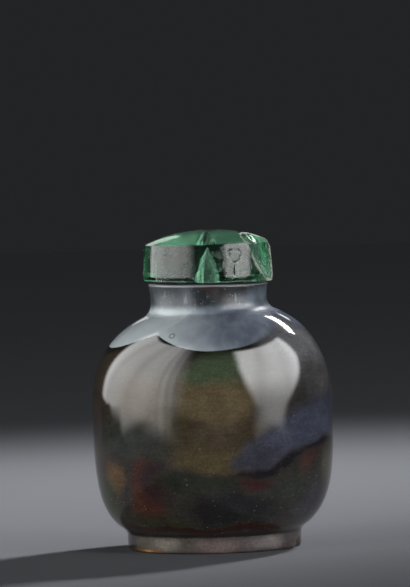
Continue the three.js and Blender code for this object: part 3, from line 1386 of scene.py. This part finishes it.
@dataclass
class CorkPlug:
    """The short cork below the cap, tapered and a little ragged. Lengths are millimetres."""

    taper: float = 0.25
    edge: float = 0.3
    columns: int = 96

    def build(self) -> bpy.types.Object:
        """Makes the plug: a tapered stub whose radius shrinks by pores and slow lumps.

        Returns:
            The piece.
        """
        low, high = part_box("cork_plug")
        bottom, top = low[2] / MM, high[2] / MM
        wide = (high[0] - low[0]) / 2 / MM
        narrow, edge = wide - self.taper, self.edge
        profile = np.concatenate([
            line((0, bottom), (narrow - edge, bottom), 8),
            arc((narrow - edge, bottom + edge), edge, -90, 0, 5),
            line((narrow, bottom + edge + 0.05), (wide, top - edge - 0.05), 20),
            arc((wide - edge, top - edge), edge, 0, 90, 5),
            line((wide - edge - 0.05, top), (0, top), 8),
            np.array([[0, top]]),
        ])
        grid = turned(profile, np.linspace(-math.pi, math.pi, self.columns, endpoint=False))
        lumps = 0.02 * (1 + Drift(2.2, 21).at(grid) * 0.5) + 0.035 * eased(Drift(0.7, 22).at(grid), 0.9, 1.6)
        grid[..., :2] *= (1 - np.maximum(lumps, 0))[..., None]
        piece = skin("cork", grid)
        piece.data.materials.append(OldCork().material())
        return piece


# ---------------------------------------------------------------- the studio


class Reach(Enum):
    """What a light's rays are for."""

    REFLECTIONS = "reflections"
    SURFACES = "surfaces"


class Panel(Enum):
    """The outline of a soft light."""

    ROUND = "ELLIPSE"
    STRAIGHT = "RECTANGLE"


@dataclass(frozen=True)
class SoftLight:
    """A soft panel or umbrella that faces the bottle. Lengths are metres and angles degrees."""

    name: str
    azimuth: float
    elevation: float
    distance: float
    width: float
    height: float
    radiance: float
    reach: Reach
    panel: Panel = Panel.ROUND
    roll: float = 0.0

    def build(self) -> None:
        """Hangs the light out at its azimuth and elevation, with a power of radiance * pi * area."""
        lamp = bpy.data.lights.new(self.name, "AREA")
        lamp.shape = self.panel.value
        lamp.size, lamp.size_y = self.width, self.height
        area = self.width * self.height * (math.pi / 4 if self.panel is Panel.ROUND else 1.0)
        lamp.energy = self.radiance * math.pi * area
        hang(lamp, self.azimuth, self.elevation, self.distance, self.roll, self.reach)


def hang(
    lamp: bpy.types.Light,
    azimuth: float,
    elevation: float,
    distance: float,
    roll: float,
    reach: Reach,
    target: tuple[float, float, float] = (0.0, 0.0, 0.03),
) -> None:
    """Places a lamp so that it faces a point, the middle of the bottle if none is given.

    Args:
        lamp: The light's data.
        azimuth: Its direction round the point.
        elevation: Its direction up from the point.
        distance: How far it hangs from the point.
        roll: How far it is turned about its own beam.
        reach: What its rays are for.
        target: The point that it faces.
    """
    light = placed(lamp.name, lamp)
    swing, lift = math.radians(azimuth), math.radians(elevation)
    way = Vector((math.sin(swing) * math.cos(lift), -math.cos(swing) * math.cos(lift), math.sin(lift)))
    face = (-way).to_track_quat("-Z", "Y").to_matrix().to_4x4()
    turn = Matrix.Rotation(math.radians(roll), 4, "Z")
    light.matrix_world = Matrix.Translation(Vector(target) + way * distance) @ face @ turn
    light.visible_camera = False
    light.visible_diffuse = reach is Reach.SURFACES
    light.visible_glossy = light.visible_transmission = reach is Reach.REFLECTIONS


@dataclass(frozen=True)
class LitCloth:
    """A softbox's cloth, which glows as its stored glow says and reflects nothing."""

    name: str

    def material(self) -> bpy.types.Material:
        """Makes the cloth black apart from its glow.

        Returns:
            The material.
        """
        graph = Graph(self.name)
        graph.plain(Base_Color=(0, 0, 0, 1), Emission_Color=(1, 1, 1, 1), Specular_IOR_Level=0.0)
        graph.feed(graph.stored("glow"), "Emission Strength")
        graph.material.cycles.emission_sampling = "NONE"
        return graph.material


@dataclass(frozen=True)
class Softbox:
    """A curved softbox that stands round one side of the bottle, dimmer at its edges and at its foot.

    It reaches from its inner to its outer azimuth, and from inner_low to outer_low at the floor, and
    opens out between the two below its corner. Lengths are metres and angles degrees.
    """

    name: str
    inner: float
    inner_low: float
    outer: float
    outer_low: float
    corner: float
    rounding: float
    top: float
    feather: float
    foot_share: float
    foot_height: float
    radiance: float
    pleats: float
    distance: float = 0.23
    outer_feather: float = 9.0
    top_feather: float = 0.02
    folds: float = 0.16

    def glow(self, azimuth: np.ndarray, height: np.ndarray) -> np.ndarray:
        """Its brightness: smooth steps in from its sides, top and foot, times the folds in its cloth.

        Its sides stand open by 1 - (1 - h / corner)^rounding at a height h. Broad folds lean across all
        of it, and fine pleats fade out away from its inner side.

        Args:
            azimuth: Azimuths on it.
            height: Heights on it.

        Returns:
            Radiances.
        """
        way = math.copysign(1.0, self.outer - self.inner)
        open_out = 1.0 - (1.0 - np.clip(height / self.corner, 0.0, 1.0)) ** self.rounding
        inner = self.inner_low + (self.inner - self.inner_low) * open_out
        outer = self.outer_low + (self.outer - self.outer_low) * open_out
        sides = eased((azimuth - inner) * way, 0.0, self.feather)
        sides *= eased((outer - azimuth) * way, 0.0, self.outer_feather)
        foot = self.foot_share + (1 - self.foot_share) * eased(height, 0.0, self.foot_height)
        foot *= eased(height, 0.003, 0.009)
        cloth = 1.0 - self.folds * self.wave(azimuth, height, 12.0, 14.0) ** 2
        near = 1.0 - eased(np.abs(azimuth - inner), 14.0, 44.0)
        cloth *= 1.0 - self.pleats * self.wave(azimuth, height, 43.0, 22.0) * near
        return self.radiance * sides * foot * eased(self.top - height, 0.0, self.top_feather) * cloth

    @staticmethod
    def wave(azimuth: np.ndarray, height: np.ndarray, rate: float, lean: float) -> np.ndarray:
        """A wave from 0 to 1, 0.5 + 0.5 sin(rate * azimuth - lean * height), with the azimuth in radians."""
        return 0.5 + 0.5 * np.sin(np.radians(azimuth) * rate - height * lean)

    def build(self) -> None:
        """Stands the softbox on the floor, seen in reflections and through glass and nowhere else."""
        columns, rows = 90, 60
        azimuth, height = np.meshgrid(
            np.linspace(self.inner, self.outer, columns), np.linspace(0.001, self.top, rows)
        )
        swing = np.radians(azimuth)
        points = np.stack([self.distance * np.sin(swing), -self.distance * np.cos(swing), height], axis=-1)
        corner = (np.arange(rows - 1)[:, None] * columns + np.arange(columns - 1)).reshape(-1)
        faces = np.stack([corner, corner + 1, corner + columns + 1, corner + columns], axis=1)
        mesh = bpy.data.meshes.new(self.name)
        mesh.from_pydata(points.reshape(-1, 3).tolist(), [], faces.tolist())
        layer = mesh.attributes.new("glow", "FLOAT", "POINT")
        layer.data.foreach_set("value", self.glow(azimuth, height).astype(np.float32).ravel())
        mesh.materials.append(LitCloth(self.name).material())
        box = placed(self.name, mesh)
        box.visible_camera = box.visible_diffuse = box.visible_shadow = False


@dataclass(frozen=True)
class FloorPaint:
    """The floor's plain pale paint, matt and without gloss."""

    colour: str = "808287"
    roughness: float = 0.9

    def material(self) -> bpy.types.Material:
        """Sets its one colour.

        Returns:
            The material.
        """
        graph = Graph("pale_floor")
        graph.plain(Base_Color=(*tint(self.colour), 1), Roughness=self.roughness, Specular_IOR_Level=0.0)
        return graph.material


@dataclass
class Studio:
    """The floor, the lights and the camera. Lengths are metres and angles degrees."""

    softboxes: tuple[Softbox, ...] = (
        Softbox(
            "left_softbox", inner=-18, inner_low=-26, outer=-125, outer_low=-66, corner=0.035, rounding=2.5,
            top=0.375, feather=26, foot_share=0.68, foot_height=0.13, radiance=5.3, pleats=0.3,
        ),
        Softbox(
            "right_softbox", inner=21, inner_low=33, outer=103, outer_low=67, corner=0.15, rounding=1.3,
            top=0.28, feather=9, foot_share=0.34, foot_height=0.11, radiance=8.8, pleats=0.0,
        ),
    )
    lights: tuple[SoftLight, ...] = (
        SoftLight("back_strip", 140, 39, 0.7, 0.24, 0.075, 30, Reach.REFLECTIONS, Panel.STRAIGHT, 20),
        SoftLight("scar_gleam", 161, 23.5, 0.7, 0.07, 0.04, 4.5, Reach.REFLECTIONS),
        SoftLight("dome_gleam", -170.5, 20, 0.7, 0.10, 0.22, 1.0, Reach.REFLECTIONS),
        SoftLight("left_fill", -60, 4.5, 0.7, 0.22, 0.12, 40, Reach.SURFACES),
        SoftLight("right_fill", 60, 4.5, 0.7, 0.22, 0.12, 40, Reach.SURFACES),
    )
    key_azimuth: float = 134.0
    key_elevation: float = 40.0
    key_distance: float = 0.9
    key_power: float = 46.0
    key_cone: float = 23.6
    key_size: float = 0.06
    key_target: tuple[float, float, float] = (-0.05, 0.088, 0.0)
    sky: float = 0.155
    sky_spread: float = 40.0
    surround: tuple[float, float, float, float] = (0.0162, 0.0170, 0.0187, 1)
    camera_distance: float = 0.85
    camera_height: float = 0.080
    camera_aside: float = -0.00057
    camera_pitch: float = -2.469
    camera_roll: float = -1.5
    lens: float = 306.0
    sensor: float = 36.0
    floor_size: float = 3.0

    def build(self) -> None:
        """Sets up everything that isn't the object."""
        for light in (*self.softboxes, *self.lights):
            light.build()
        self.key()
        self.floor()
        self.backdrop()
        self.camera()

    def key(self) -> None:
        """A soft-edged spot from behind that pools on the floor, and a faint even light from above."""
        lamp = bpy.data.lights.new("key", "SPOT")
        lamp.energy = self.key_power
        lamp.spot_size, lamp.spot_blend = math.radians(self.key_cone), 1.0
        lamp.shadow_soft_size = self.key_size
        stand = (self.key_azimuth, self.key_elevation, self.key_distance)
        hang(lamp, *stand, 0.0, Reach.SURFACES, self.key_target)
        overhead = bpy.data.lights.new("overhead", "SUN")
        overhead.energy, overhead.angle = self.sky, math.radians(self.sky_spread)
        hang(overhead, 0.0, 89.0, 1.0, 0.0, Reach.SURFACES)

    def floor(self) -> None:
        """A plain pale floor."""
        half = self.floor_size / 2
        mesh = bpy.data.meshes.new("floor")
        corners = [(-half, -half, 0), (half, -half, 0), (half, half, 0), (-half, half, 0)]
        mesh.from_pydata(corners, [], [(0, 1, 2, 3)])
        plane = placed("floor", mesh)
        mesh.materials.append(FloorPaint().material())

    def backdrop(self) -> None:
        """An even, dim grey all round."""
        world = bpy.data.worlds.new("studio")
        world.use_nodes = True
        fill(world.node_tree.nodes["Background"], Color=self.surround)
        bpy.context.scene.world = world

    def camera(self) -> None:
        """A long lens a little above the bottle, looking slightly down, and rolled."""
        data = bpy.data.cameras.new("camera")
        data.lens, data.sensor_width = self.lens, self.sensor
        camera = placed("camera", data)
        place = Matrix.Translation((self.camera_aside, -self.camera_distance, self.camera_height))
        tip = Matrix.Rotation(math.radians(90 + self.camera_pitch), 4, "X")
        roll = Matrix.Rotation(math.radians(self.camera_roll), 4, "Z")
        camera.matrix_world = place @ tip @ roll
        bpy.context.scene.camera = camera
        bpy.context.scene.view_settings.view_transform = "Standard"


# ---------------------------------------------------------------- putting it together


def settle(piece: bpy.types.Object, node: str) -> None:
    """Lets a finished piece stand for a CAD node.

    Args:
        piece: The piece.
        node: The CAD node that it replaces.
    """
    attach(piece, "root")
    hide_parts(node)
    log.info("%s: %d vertices, stands for %s", piece.name, len(piece.data.vertices), node)


def main() -> None:
    """Builds the studio, the bottle and its stopper."""
    logging.basicConfig(level=logging.INFO)
    Studio().build()
    settle(Bottle().build(), "bottle")
    settle(GlassCap().build(), "glass_cap")
    settle(CorkPlug().build(), "cork_plug")


if __name__ == "__main__":
    main()
